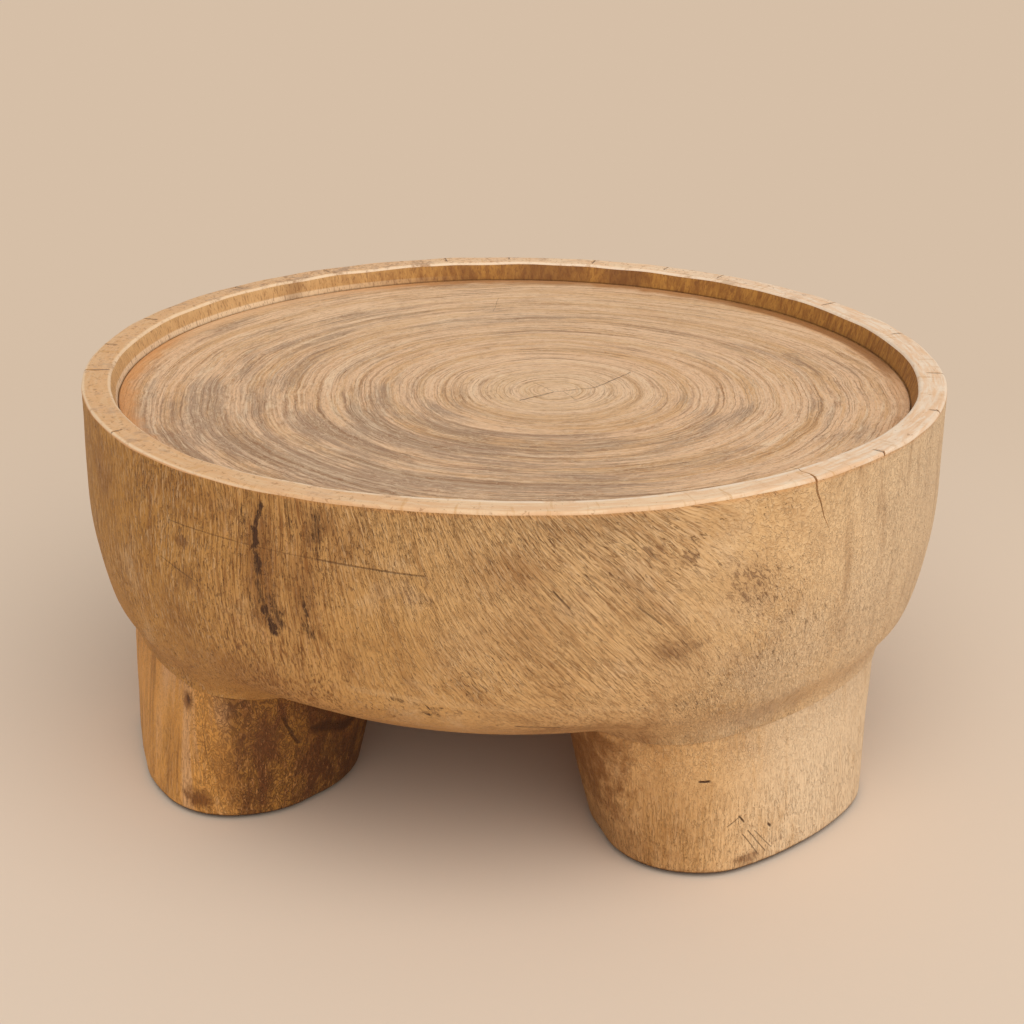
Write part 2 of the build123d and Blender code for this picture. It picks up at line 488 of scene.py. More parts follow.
def tube(bm, steps, loops):
    """Starts a bmesh with a tube of unit radius, one ring at each whole height, to be shaped later."""
    bmesh.ops.create_circle(bm, segments=steps, radius=1, cap_ends=False)
    edges = bm.edges[:]
    for _ in range(loops - 1):
        grown = bmesh.ops.extrude_edge_only(bm, edges=edges)["geom"]
        verts = [item for item in grown if isinstance(item, bmesh.types.BMVert)]
        bmesh.ops.translate(bm, verts=verts, vec=(0, 0, 1))
        edges = [item for item in grown if isinstance(item, bmesh.types.BMEdge)]
    bmesh.ops.holes_fill(bm, edges=bm.edges, sides=steps)


# Drum

def spun(bm, corners, step, turns):
    """Spins a run of corners, radius and height, about the table's axis, with faces of about one step."""
    verts = [bm.verts.new((radius, 0, height)) for radius, height in corners]
    edges = [bm.edges.new(ends) for ends in zip(verts, verts[1:])]
    for edge in edges:
        cuts = math.ceil(edge.calc_length() / step) - 1
        if cuts > 0:
            bmesh.ops.subdivide_edges(bm, edges=[edge], cuts=cuts)
    drawn = bm.verts[:] + bm.edges[:]
    bmesh.ops.spin(bm, geom=drawn, axis=(0, 0, 1), angle=math.tau, steps=turns, use_merge=True)
    bmesh.ops.remove_doubles(bm, verts=bm.verts, dist=MERGE)


def ring_edges(bm, radius, height):
    """Edges of one level ring."""
    def near(vert):
        return abs(vert.co.z - height) < SLIVER and abs(vert.co.xy.length - radius) < SLIVER

    return [edge for edge in bm.edges if all(near(vert) for vert in edge.verts)]


def rounded(bm, edges, size, segments):
    bmesh.ops.bevel(
        bm, geom=edges, offset=size, segments=segments, profile=0.5, affect="EDGES", material=-1
    )


def belly_radius(rise):
    """Radius of the drum's side above its lower ridge, at one height above the joint."""
    straight = TABLE_HEIGHT - BELLY_DROP - JOINT_HEIGHT
    drop = max(straight - rise, 0)
    return RIM_RADIUS - RIDGE_INSET * (drop / (straight - RIDGE_RISE)) ** 2


def side_profile(rise, fullness):
    """Radius of the drum's side at one height. Fullness is 0 between the legs and 1 over a leg."""
    ridge = RIDGE_RISE + (SHOULDER_RIDGE_RISE - RIDGE_RISE) * fullness
    if rise >= ridge:
        return belly_radius(rise)
    turn = belly_radius(ridge)
    share = 1 - rise / ridge
    lip = 1 - LIP_RISE / RIDGE_RISE
    if share < lip:
        between = turn - (turn - LIP_RADIUS) * share / lip
    else:
        between = LIP_RADIUS - (LIP_RADIUS - UNDERSIDE_RADIUS) * (share - lip) / (1 - lip)
    over = turn - (turn - SHOULDER_SEAM) * math.sin(share * math.pi / 2)
    return between + (over - between) * fullness


def carve_drum(bm, settings):
    """Brings the drum down full over each leg, and makes its side and rim uneven."""
    fullness = {}
    rim_inner = RIM_RADIUS - RIM_WIDTH
    lower = []
    for vert in bm.verts:
        x, y, z = vert.co
        radius = math.hypot(x, y)
        azimuth = math.atan2(y, x)
        crest = blended(math.cos(azimuth - RIM_CREST), math.cos(CREST_WIDTH), 1)
        if z > TRAY_FACE - MM and radius < RIM_RADIUS - MM or z > TABLE_HEIGHT - RIM_EDGE - MM / 10:
            upper = blended(z, TRAY_FACE, TABLE_HEIGHT)
            outward = settings.rim_depth * uneven(vert.co, RIM_WAVES) - CREST_INSET * crest * upper
            vert.co.x += outward * x / radius
            vert.co.y += outward * y / radius
            if radius > rim_inner - MM:
                wear = uneven(vert.co, RIM_HEIGHT_WAVES) - WORN_DOWN
                vert.co.z += settings.rim_depth * wear * upper
            vert.co.z += CREST_RISE * crest * upper
            continue
        if radius < LIP_RADIUS and (z > JOINT_HEIGHT + LIP_RISE + MM or radius < UNDERSIDE_RADIUS - MM):
            continue
        key = round(azimuth, 4)
        if key not in fullness:
            bulge = shoulder_reach(azimuth) + SHOULDER_LIP - UNDERSIDE_RADIUS
            fullness[key] = min(max(bulge / (SHOULDER_SEAM - UNDERSIDE_RADIUS), 0), 1)
        target = side_profile(z - JOINT_HEIGHT, fullness[key])
        fade = blended(z, JOINT_HEIGHT, JOINT_HEIGHT + JOINT_FADE) * blended(TABLE_HEIGHT - z, 0, RIM_FADE)
        target += settings.hand_depth * uneven(vert.co, SIDE_WAVES) * fade
        target -= CREST_INSET * crest * blended(z, TABLE_HEIGHT - BELLY_DROP, TABLE_HEIGHT)
        vert.co.x, vert.co.y = x * target / radius, y * target / radius
        if JOINT_HEIGHT + MM < z < JOINT_HEIGHT + LOWER_BAND:
            lower.append(vert)
    for _ in range(LOWER_PASSES):
        bmesh.ops.smooth_vert(
            bm, verts=lower, factor=0.5, use_axis_x=True, use_axis_y=True, use_axis_z=True
        )


def blade(bm, stations):
    """A thin wedge that leaves a crack. Station: azimuth, radius, height, way out, half width, depth."""
    part = bmesh.new()
    tube(part, 3, len(stations))
    for vert in part.verts:
        azimuth, radius, height, outward, half, depth = stations[round(vert.co.z)]
        turn = math.radians(azimuth)
        tilt = math.radians(outward)
        side = round(math.atan2(vert.co.y, vert.co.x) / (math.tau / 3))
        over = OVERCUT if side else -depth
        aside = side * half * (depth + OVERCUT) / depth
        away = radius + over * math.cos(tilt)
        x = away * math.cos(turn) - aside * math.sin(turn)
        y = away * math.sin(turn) + aside * math.cos(turn)
        vert.co = Vector((x, y, height + over * math.sin(tilt))) * MM
    append(bm, part)


def append(bm, part):
    """Adds one bmesh to another."""
    bmesh.ops.recalc_face_normals(part, faces=part.faces)
    mesh = new_mesh(part, "part")
    bm.from_mesh(mesh)
    bpy.data.meshes.remove(mesh)


def crack_cutter():
    """Blades for the crack down the rim, and for the small checks across it."""
    top = TABLE_HEIGHT / MM
    bm = bmesh.new()
    blade(bm, [
        (-52.4, 418, top + 2, 90, 0.35, 3),
        (-52.8, 426, top + 2, 90, 0.55, 5),
        (-52.5, 435, top + 2, 90, 0.7, 7),
        (-52.9, 444, top + 1, 45, 1.3, 10),
        (-52.6, 445, top - 12, 0, 1.25, 8),
        (-51.9, 446, top - 24, 0, 0.9, 6),
        (-51.4, 446.5, top - 37, 0, 0.6, 5),
        (-50.5, 447, top - 50, 0, 0.25, 3.5),
    ])
    for azimuth, inner, outer, half in RIM_CHECKS:
        middle = (inner + outer) / 2
        blade(bm, [
            (azimuth, inner, top, 90, 0.15, 1.5),
            (azimuth + 0.4, middle, top, 90, half * 0.7, 3),
            (azimuth - 0.2, outer, top, 60, half, 4),
        ])
    return new_cutter(bm)


class OBJECT_OT_drum_table_drum(bpy.types.Operator):
    """Builds the carved drum with its rim, ledge and hollow"""

    bl_idname = "object.drum_table_drum"
    bl_label = "Drum"

    def execute(self, context):
        settings = context.scene.drum_table_carving
        cavity_floor = JOINT_HEIGHT + FLOOR_THICKNESS
        ledge_radius = BORE_RADIUS - LEDGE_WIDTH
        rim_inner = RIM_RADIUS - RIM_WIDTH
        corners = [
            (0, JOINT_HEIGHT),
            (UNDERSIDE_RADIUS, JOINT_HEIGHT),
            (LIP_RADIUS, JOINT_HEIGHT + LIP_RISE),
            (RIM_RADIUS - RIDGE_INSET, JOINT_HEIGHT + RIDGE_RISE),
            (RIM_RADIUS, TABLE_HEIGHT - BELLY_DROP),
            (RIM_RADIUS, TABLE_HEIGHT),
            (rim_inner, TABLE_HEIGHT),
            (BORE_RADIUS, TRAY_FACE),
            (BORE_RADIUS, LEDGE_FACE),
            (ledge_radius, LEDGE_FACE),
            (ledge_radius - CAVITY_LEAN, cavity_floor),
            (0, cavity_floor),
        ]
        bm = bmesh.new()
        spun(bm, corners, settings.ring_step, settings.drum_steps)
        rims = ring_edges(bm, RIM_RADIUS, TABLE_HEIGHT) + ring_edges(bm, rim_inner, TABLE_HEIGHT)
        rounded(bm, rims, RIM_EDGE, 4)
        bmesh.ops.recalc_face_normals(bm, faces=bm.faces)
        for face in bm.faces:
            middle = face.calc_center_median()
            radius = math.hypot(middle.x, middle.y)
            if middle.z > TABLE_HEIGHT - RIM_EDGE and radius > rim_inner - RIM_EDGE / 2:
                face.material_index = 1
            elif middle.z > TRAY_FACE - MM and radius < rim_inner + RIM_EDGE:
                face.material_index = 2
            elif radius < BORE_RADIUS + MM and middle.z > cavity_floor - MM or face.normal.z < -LEVEL_FACE:
                face.material_index = 3
        carve_drum(bm, settings)
        materials = [side_finish(), rim_finish(), wall_finish(), hollow_finish()]
        piece = new_piece(bm, "carved_drum", materials, "drum_wood", "drum_body")
        cut(piece, mortise_cutter())
        cut(piece, crack_cutter())
        return {"FINISHED"}


def leg_frame(angle):
    return Matrix.Rotation(math.radians(angle), 4, "Z") @ Matrix.Translation((TENON_RADIUS, 0, 0))


def mortise_cutter():
    """Round-ended bars that leave the mortises in the drum's floor."""
    bm = bmesh.new()
    for angle in LEG_ANGLES.values():
        bar = bmesh.new()
        tube(bar, MORTISE_STEPS, 2)
        for vert in bar.verts:
            direction = math.atan2(vert.co.y, vert.co.x)
            distance = tenon_reach(direction, TENON_CLEARANCE)
            high = vert.co.z > 0.5
            height = JOINT_HEIGHT + FLOOR_THICKNESS + OVERRUN if high else JOINT_HEIGHT - OVERRUN
            vert.co = polar(distance, direction, height)
        bmesh.ops.transform(bar, matrix=leg_frame(angle), verts=bar.verts)
        append(bm, bar)
    return new_cutter(bm)


# Tray

class OBJECT_OT_drum_table_tray(bpy.types.Operator):
    """Builds the inset disc of end grain"""

    bl_idname = "object.drum_table_tray"
    bl_label = "Tray"

    def execute(self, context):
        settings = context.scene.drum_table_carving
        corners = [(0, LEDGE_FACE), (TRAY_RADIUS, LEDGE_FACE), (TRAY_RADIUS, TRAY_FACE), (0, TRAY_FACE)]
        bm = bmesh.new()
        spun(bm, corners, settings.ring_step, settings.drum_steps * 3 // 5)
        rounded(bm, ring_edges(bm, TRAY_RADIUS, TRAY_FACE), TRAY_EDGE, 2)
        for vert in bm.verts:
            if vert.co.z < TRAY_FACE - MM / 2:
                continue
            inside = blended(TRAY_RADIUS - math.hypot(vert.co.x, vert.co.y), 0, TRAY_FADE)
            vert.co.z += settings.tray_depth * (uneven(vert.co, TRAY_WAVES) - WORN_DOWN) * inside
        new_piece(bm, "ring_tray", [tray_finish()], "tray_wood", "tray_top")
        return {"FINISHED"}


# Legs

def foot_swelling(point, swellings):
    """How far an uneven foot stands out at one point of its outer side."""
    total = 0
    for azimuth, half_width, swelling in swellings:
        away = math.atan2(point.y, point.x) - math.radians(azimuth)
        total += swelling * blended(math.cos(away), math.cos(math.radians(half_width)), 1)
    return total * blended(point.xy.length, SWELLING_START, SWELLING_FULL)


def kerf_cutter(angle):
    """Tapered slots for the two wedges of one tenon."""
    bm = bmesh.new()
    top = JOINT_HEIGHT + FLOOR_THICKNESS
    depth = WEDGE_DEPTH + KERF_RELIEF
    top_half = WEDGE_THICKNESS / 2 + WEDGE_CLEARANCE
    tip_half = WEDGE_TIP / 2 + WEDGE_CLEARANCE
    grown_half = top_half + (top_half - tip_half) * OVERRUN / depth
    for side in (-1, 1):
        verts = bmesh.ops.create_cube(bm, size=2)["verts"]
        for vert in verts:
            high = vert.co.z > 0
            half = grown_half if high else tip_half
            height = top + OVERRUN if high else top - depth
            vert.co = (vert.co.x * TENON_WIDTH, vert.co.y * half + side * WEDGE_SPACING / 2, height)
    bmesh.ops.transform(bm, matrix=leg_frame(angle), verts=bm.verts)
    return new_cutter(bm)


class OBJECT_OT_drum_table_legs(bpy.types.Operator):
    """Builds the three thick legs with their tenons"""

    bl_idname = "object.drum_table_legs"
    bl_label = "Legs"

    def execute(self, context):
        for number, (name, angle) in enumerate(LEG_ANGLES.items()):
            self.build_leg(context, name, angle, LEG_SEED * (number + 1))
        return {"FINISHED"}

    def build_leg(self, context, name, angle, seed):
        settings = context.scene.drum_table_carving
        levels = settings.leg_levels
        placed = leg_frame(angle)
        bm = bmesh.new()
        tube(bm, settings.leg_steps, FOOT_LOOPS + levels + 2)
        height = JOINT_HEIGHT - PAD_TOP
        top_loop = FOOT_LOOPS + levels - 1
        for vert in bm.verts:
            direction = math.atan2(vert.co.y, vert.co.x)
            loop = round(vert.co.z)
            if loop > top_loop:
                distance = tenon_reach(direction, 0)
                level = JOINT_HEIGHT if loop == top_loop + 1 else JOINT_HEIGHT + FLOOR_THICKNESS
            else:
                turn = min(loop / FOOT_LOOPS, 1) * math.pi / 2
                inset = FOOT_ROUND * (1 - math.sin(turn))
                rise = FOOT_ROUND * (1 - math.cos(turn))
                if loop > FOOT_LOOPS:
                    rise += (height - FOOT_ROUND) * (loop - FOOT_LOOPS) / (top_loop - FOOT_LOOPS)
                share = rise / height
                distance = leg_reach(direction, LEG_SPREAD * share, FOOT_RADIUS - LEG_LEAN * share) - inset
                level = PAD_TOP + rise
                edge = placed @ polar(distance, direction, level)
                wave = uneven(edge, LEG_WAVES, seed)
                distance += settings.hand_depth * wave * blended(1 - share, 0, LEG_FADE)
                distance += foot_swelling(edge, LEG_SWELLINGS[name]) * (1 - share)
            vert.co = polar(distance, direction, level)
        bmesh.ops.transform(bm, matrix=placed, verts=bm.verts)
        piece = new_piece(bm, "carved_leg_" + name, [leg_finish(name)], "leg_wood", "leg_" + name)
        cut(piece, kerf_cutter(angle))


# Finishes

class Wire:
    """A value, colour or vector on its way between nodes. Python's operators add Math nodes."""

    def __init__(self, finish, socket):
        self.finish = finish
        self.socket = socket

    def math(self, operation, first, second=0.0):
        return self.finish.node("ShaderNodeMath", {"operation": operation}, {0: first, 1: second})

    def __add__(self, other):
        return self.math("ADD", self, other)

    __radd__ = __add__

    def __sub__(self, other):
        return self.math("SUBTRACT", self, other)

    def __rsub__(self, other):
        return self.math("SUBTRACT", other, self)

    def __mul__(self, other):
        return self.math("MULTIPLY", self, other)

    __rmul__ = __mul__

    def __truediv__(self, other):
        return self.math("DIVIDE", self, other)

    def __pow__(self, other):
        return self.math("POWER", self, other)

    def __abs__(self):
        return self.math("ABSOLUTE", self)

    def past(self, low, high):
        """0 where it is below low, 1 where it is above high. High may be the lower one."""
        rising = float(low < high)
        settings = {"interpolation_type": "SMOOTHSTEP", "clamp": True}
        ends = {0: self, 1: min(low, high), 2: max(low, high), 3: 1 - rising, 4: rising}
        return self.finish.node("ShaderNodeMapRange", settings, ends)


class Finish:
    """One material, and the ways its pattern is put together. Its base is the colour so far."""

    def __init__(self, name):
        self.material = bpy.data.materials.new(name)
        self.material.use_nodes = True
        self.tree = self.material.node_tree
        self.tree.nodes.clear()
        self.place = self.node("ShaderNodeTexCoord", output="Object")
        self.x, self.y, self.z = self.parts(self.place)
        self.base = None

    def node(self, kind, settings=None, inputs=None, output=0):
        """Adds a node: its settings first, then what goes into its sockets. Returns one output."""
        made = self.tree.nodes.new(kind)
        for name, value in (settings or {}).items():
            setattr(made, name, value)
        for name, value in (inputs or {}).items():
            if isinstance(value, Wire):
                self.tree.links.new(value.socket, made.inputs[name])
            else:
                made.inputs[name].default_value = value
        return Wire(self, made.outputs[output]) if made.outputs else None

    def parts(self, vector):
        outputs = self.node("ShaderNodeSeparateXYZ", inputs={0: vector}).socket.node.outputs
        return [Wire(self, socket) for socket in outputs]

    def vector(self, x, y, z):
        return self.node("ShaderNodeCombineXYZ", inputs={0: x, 1: y, 2: z})

    def vector_math(self, operation, first, second):
        return self.node("ShaderNodeVectorMath", {"operation": operation}, {0: first, 1: second})

    def size(self, x, y):
        """Length of a level vector."""
        return (x * x + y * y) ** 0.5

    def clouds(self, vector, scale=1.0, detail=2.0, roughness=0.5, distortion=0.0):
        """Noise about 0.5, at so many features a metre."""
        inputs = {"Vector": vector, "Scale": scale, "Detail": detail, "Roughness": roughness}
        return self.node("ShaderNodeTexNoise", inputs={**inputs, "Distortion": distortion})

    def grain(self, vector, factors, detail=2.0, roughness=0.5, distortion=0.0):
        """Noise about 0.5, with its own number of features a metre each way."""
        return self.clouds(self.vector_math("MULTIPLY", vector, factors), 1, detail, roughness, distortion)

    def strokes(self, vector, factors, width, distortion=1.0):
        """Thin wavy strokes, where a noise crosses its middle."""
        return abs(self.grain(vector, factors, 1, 0.5, distortion) - 0.5).past(width, width * 0.3)

    def mix(self, share, first, second):
        """A colour between two others. Each is a wire, the name of a wood colour, or its levels."""
        inputs = {0: share}
        for socket, colour in ((6, first), (7, second)):
            if isinstance(colour, str):
                colour = getattr(bpy.context.scene.drum_table_colours, colour)
            inputs[socket] = colour if isinstance(colour, Wire) else (*colour, 1.0)
        return self.node("ShaderNodeMix", {"data_type": "RGBA", "clamp_factor": True}, inputs, output=2)

    def coat(self, share, colour):
        """Lays a share of a colour over the base."""
        self.base = self.mix(share, self.base, colour)

    def strongest(self, *shares):
        """The largest of several shares."""
        total = shares[0]
        for share in shares[1:]:
            total = self.node("ShaderNodeMath", {"operation": "MAXIMUM"}, {0: total, 1: share})
        return total

    def broken(self, share, noise):
        """Breaks soft marks up into small strokes: the weaker the mark, the sparser they are."""
        return share.past(0.05, 0.25) * (share + (noise - 0.5) * 2.2).past(0.42, 0.95)

    def spots(self, across, up, ragged, places):
        """Uneven stains. Each has its middle, half width, half height and strength, in millimetres."""
        shares = []
        for middle, height, half_width, half_height, strength in places:
            distance = self.size((across - middle) / half_width, (up - height) / half_height)
            shares.append((distance + ragged * 1.6).past(1.1, 0.3) * strength)
        return self.strongest(*shares)

    def streaks(self, across, up, ragged, places):
        """Uneven lines. Each has two ends, a half width and a strength, in millimetres."""
        shares = []
        for start, end, half, strength in places:
            run = Vector(end) - Vector(start)
            way = run.normalized()
            right = across - start[0]
            above = up - start[1]
            along = right * way.x + above * way.y
            aside = above * way.x - right * way.y + ragged * (half * 2 + 4)
            tips = along.past(-half, half) * along.past(run.length + half, run.length - half)
            shares.append(abs(aside).past(half, half * 0.3) * tips * strength)
        return self.strongest(*shares)

    def surface(self, roughness, height, depth, specular=0.3):
        """Puts the base, the roughness and the relief on the surface. Depth is in metres."""
        relief = self.node("ShaderNodeBump", inputs={"Strength": 1.0, "Distance": depth, "Height": height})
        inputs = {"Base Color": self.base, "Roughness": roughness, "Normal": relief}
        shader = self.node("ShaderNodeBsdfPrincipled", inputs={**inputs, "Specular IOR Level": specular})
        self.node("ShaderNodeOutputMaterial", inputs={0: shader})
        return self.material


def front_angle(wood):
    """Azimuth in radians: 0 in front, growing to the right."""
    return wood.node("ShaderNodeMath", {"operation": "ARCTAN2"}, {0: wood.x, 1: 0 - wood.y})


def side_place(wood):
    """Place on the table's side in millimetres: across and up, as the marks are given."""
    return front_angle(wood) * (RIM_RADIUS / MM), wood.z / MM


def plain_wood(wood):
    """Honey wood on the left, paler towards the right, partly the wood's tone and partly painted light from
    the right, with brown and pale clouds.
    """
    large = wood.clouds(wood.place, 4, 3)
    clouds = wood.clouds(wood.place, 13, 4, 0.65)
    # Partly painted light: the wood grows paler towards the right, where the light falls; partly the wood's
    # own tone
    right = wood.x.past(-0.46, 0.38)
    wood.base = wood.mix(right * 0.95 + (large - 0.5) * 0.6, "honey", "pale")
    wood.coat(clouds.past(0.47, 0.75) * 0.5, "brown")
    wood.coat(clouds.past(0.45, 0.25) * 0.3, "cream")


def carving(wood, fibres, curled):
    """Fine strokes of hand carving, along the fibres or curled: relief, and the dark lines between."""
    hatch = wood.grain(fibres, (460, 460, 75), 2, 0.6, 0.5)
    curls = wood.grain(fibres, (310, 310, 160), 2, 0.6, 1.2)
    straight = wood.strokes(fibres, (230, 230, 40), 0.07, 0.5)
    wavy = wood.strokes(fibres, (230, 230, 130), 0.08)
    relief = hatch + (curls - hatch) * curled
    return relief, (straight + (wavy - straight) * curled) * curls.past(0.44, 0.58)


def carved(wood, relief, worms, depth, bright=1.0):
    """Paints shade into the grooves of a carving and highlights on its raised strokes, by a depth from 0 to
    1.
    """
    wood.coat(relief.past(0.47, 0.37) * depth * 0.5, "brown")
    wood.coat(relief.past(0.53, 0.63) * depth * bright * 0.3, "cream")
    wood.coat(worms * depth * 0.5, "brown")


def side_finish():
    wood = Finish("drum_side_wood")
    across, up = side_place(wood)
    large = wood.clouds(wood.place, 3.5, 3)
    ragged = wood.clouds(wood.place, 90, 4, 0.7) - 0.5

    # Fibres: upright on the left, leaning in front, curling on the right
    slant = across.past(-240, 60) * across.past(330, 120) * 0.85 + (large - 0.5) * 0.7
    lean = {"Vector": wood.place, "Angle": slant * (wood.z - SIDE_MIDDLE) / RIM_RADIUS}
    fibres = wood.node("ShaderNodeVectorRotate", {"rotation_type": "Z_AXIS"}, lean)
    curled = across.past(90, 260) * 0.8 + up.past(250, 200) * 0.6
    relief, worms = carving(wood, fibres, curled.past(0, 1))
    lines = wood.grain(fibres, (460, 460, 18), 3, 0.6)
    flecks = wood.grain(fibres, (260, 260, 60), 4, 0.7, 0.8)
    combed = across.past(-330, -260) * across.past(-120, -190)
    swept = across.past(-60, 30) * across.past(210, 130) * up.past(385, 350)
    combed = wood.strongest(combed, swept * large.past(0.4, 0.5) * 0.5)
    relief = relief + (lines - relief) * combed * 0.6
    dashes = wood.grain(fibres, (400, 400, 150), 2, 0.5, 0.6)
    crowded = wood.clouds(wood.place, 9, 3, 0.6)
    pores = (dashes + (crowded - 0.5) * 0.5).past(0.66, 0.72)
    broad = wood.grain(fibres, (60, 60, 9), 4, 0.6)

    # Colours of the wood with painted light and shade, and the strokes
    plain_wood(wood)
    # Painted light: cream lightens the far right of the drum, where the light falls
    wood.coat(wood.x.past(0.22, 0.42) * 0.75, "cream")
    wood.coat(broad.past(0.5, 0.75) * 0.4, "brown")
    # Painted highlight along the lower ridge
    ridge_highlights = wood.streaks(across, up, ragged * 0.6, SIDE_RIDGE_HIGHLIGHTS)
    # Rubbed places and the ridge highlights: partly wear, partly painted light
    rubbed_and_highlit = wood.strongest(wood.spots(across, up, ragged, SIDE_RUBBED_AND_LIT), ridge_highlights)
    wood.coat(rubbed_and_highlit, wood.mix(across.past(150, 250), "pale", "cream"))
    wood.coat(wood.spots(across, up, ragged, SIDE_STAINS) * (0.6 + ragged), "brown")
    depth = 0.32 + 0.42 * crowded.past(0.35, 0.62) + across.past(-50, 60) * 0.16
    depth = (depth + across.past(-240, -380) * 0.3) * (1 - across.past(220, 380) * 0.45)
    carved(wood, relief, worms, depth)
    wood.coat(lines.past(0.51, 0.38) * combed * 0.75, "brown")
    wood.coat(lines.past(0.55, 0.66) * combed * 0.3, "amber")

    # Marks of use
    grime = wood.broken(wood.spots(across, up, ragged, SIDE_GRIME), relief)
    wood.coat(grime * 0.6, "heart")
    bark = wood.broken(wood.streaks(across, up, ragged, BARK_STREAKS), flecks)
    dark = wood.strongest(bark, wood.streaks(across, up, ragged * 0.15, SIDE_SCRATCHES))
    wood.coat(pores * 0.5 * across.past(420, 260), "heart")
    wood.coat(dark, "umber")
    wood.coat(up.past(394, 398) * 0.4, "amber")
    height = relief - worms * 0.25 - wood.strongest(dark, pores) * 0.3
    return wood.surface(0.58 + (relief - 0.5) * 0.3, height, 3.4 * MM)


def rim_finish():
    wood = Finish("rim_wood")
    radius = wood.size(wood.x, wood.y)
    grain = wood.clouds(wood.vector(radius * 210, wood.x * 26, wood.y * 26), 1, 4, 0.65, 0.4)
    mottle = wood.clouds(wood.place, 34, 5, 0.7)
    flecks = wood.clouds(wood.place, 190, 3, 0.6, 0.8)
    left = wood.x.past(0.2, -0.44)
    aged = left * 0.08 + wood.y.past(0.1, 0.42) * 0.08
    # Partly painted light: the rim lighter towards the right and darker towards the left; partly the wood's
    # tone
    fresh_and_lit = wood.mix(wood.x.past(0.1, 0.36), "cream", "bleached")
    wood.base = wood.mix(grain.past(0.36, 0.62) * 0.75 + 0.1 + left * 0.4, fresh_and_lit, "tan")
    wood.coat(left * 0.45, "honey")
    ticks = wood.clouds(wood.vector(front_angle(wood) * 90, radius * 22, wood.z), 1, 3, 0.6, 0.3)
    wood.coat(ticks.past(0.56, 0.72) * 0.4, "honey")
    wood.coat((mottle + aged).past(0.48, 0.7) * 0.3, "tan")
    wood.coat((mottle + aged).past(0.6, 0.72) * (0.12 + aged * 3), "weathered")
    wood.coat((flecks + aged).past(0.64, 0.72) * 0.45, "brown")
    checks = []
    for azimuth, start, end, half in RIM_CHECKS:
        out = polar(1, math.radians(azimuth), 0).xy
        checks.append((out * start, out * end, half + 0.5, 0.8))
    cracks = wood.streaks(wood.x / MM, wood.y / MM, (mottle - 0.5) * 0.6, checks)
    outer = radius.past(RIM_RADIUS - 4 * MM, RIM_RADIUS - MM)
    inner = radius.past(RIM_RADIUS - RIM_WIDTH + 3 * MM, RIM_RADIUS - RIM_WIDTH)
    # Rubbed edges: partly wear, partly painted highlight
    rubbed_and_highlit = (outer + inner) * mottle.past(0.66, 0.5)
    wood.coat(rubbed_and_highlit * 0.85, wood.mix(left, "bleached", "cream"))
    below = wood.z.past(TABLE_HEIGHT - 2 * MM, TABLE_HEIGHT - 3.5 * MM)
    wood.coat(below * outer * 0.7, "amber")
    wood.coat(cracks, "umber")
    height = grain * 0.6 + mottle * 0.5 + flecks * 0.5 + ticks * 0.4 - cracks * 0.5
    return wood.surface(0.56 + (grain - 0.5) * 0.2, height, 1.4 * MM)


def wall_finish():
    wood = Finish("rim_wall_wood")
    upright = wood.grain(wood.place, (130, 130, 18), 4, 0.65, 0.4)
    fine = wood.grain(wood.place, (420, 420, 60), 3, 0.6, 0.6)
    blotch = wood.clouds(wood.place, 14, 3, 0.6)
    left = wood.x.past(-0.05, -0.33)
    foot = wood.z.past(TRAY_FACE + 7 * MM, TRAY_FACE + 5 * MM)
    streaky = upright.past(0.3, 0.7) * (0.75 - left * 0.45)
    wood.base = wood.mix(0.15 + streaky, "honey", "brown")
    # Partly painted light: the wall paler on the left, where it faces the light
    wood.coat(left * (0.6 - streaky * 0.5), "pale")
    wood.coat(left * foot * 0.85, "cream")
    wood.coat(fine.past(0.5, 0.34) * 0.45, "heart")
    wood.coat(wood.spots(wood.x / MM, wood.y / MM, blotch - 0.5, WALL_KNOTS), "heart")
    seam = wood.z.past(TRAY_FACE + 2 * MM, TRAY_FACE)
    wood.coat(seam * (0.7 - left * 0.4), "umber")
    return wood.surface(0.65 + (upright - 0.5) * 0.2, upright * 0.6 + fine * 0.6, 1.2 * MM)


def hollow_finish():
    wood = Finish("hollow_wood")
    grain = wood.grain(wood.place, (90, 90, 14), 4, 0.6, 0.5)
    gouges = wood.clouds(wood.place, 34, 2, 0.5, 1.2)
    wood.base = wood.mix(grain.past(0.3, 0.7), "honey", "brown")
    wood.coat(gouges.past(0.5, 0.7) * 0.5, "brown")
    return wood.surface(0.75 + (grain - 0.5) * 0.2, grain * 0.5 + gouges, 1.5 * MM)


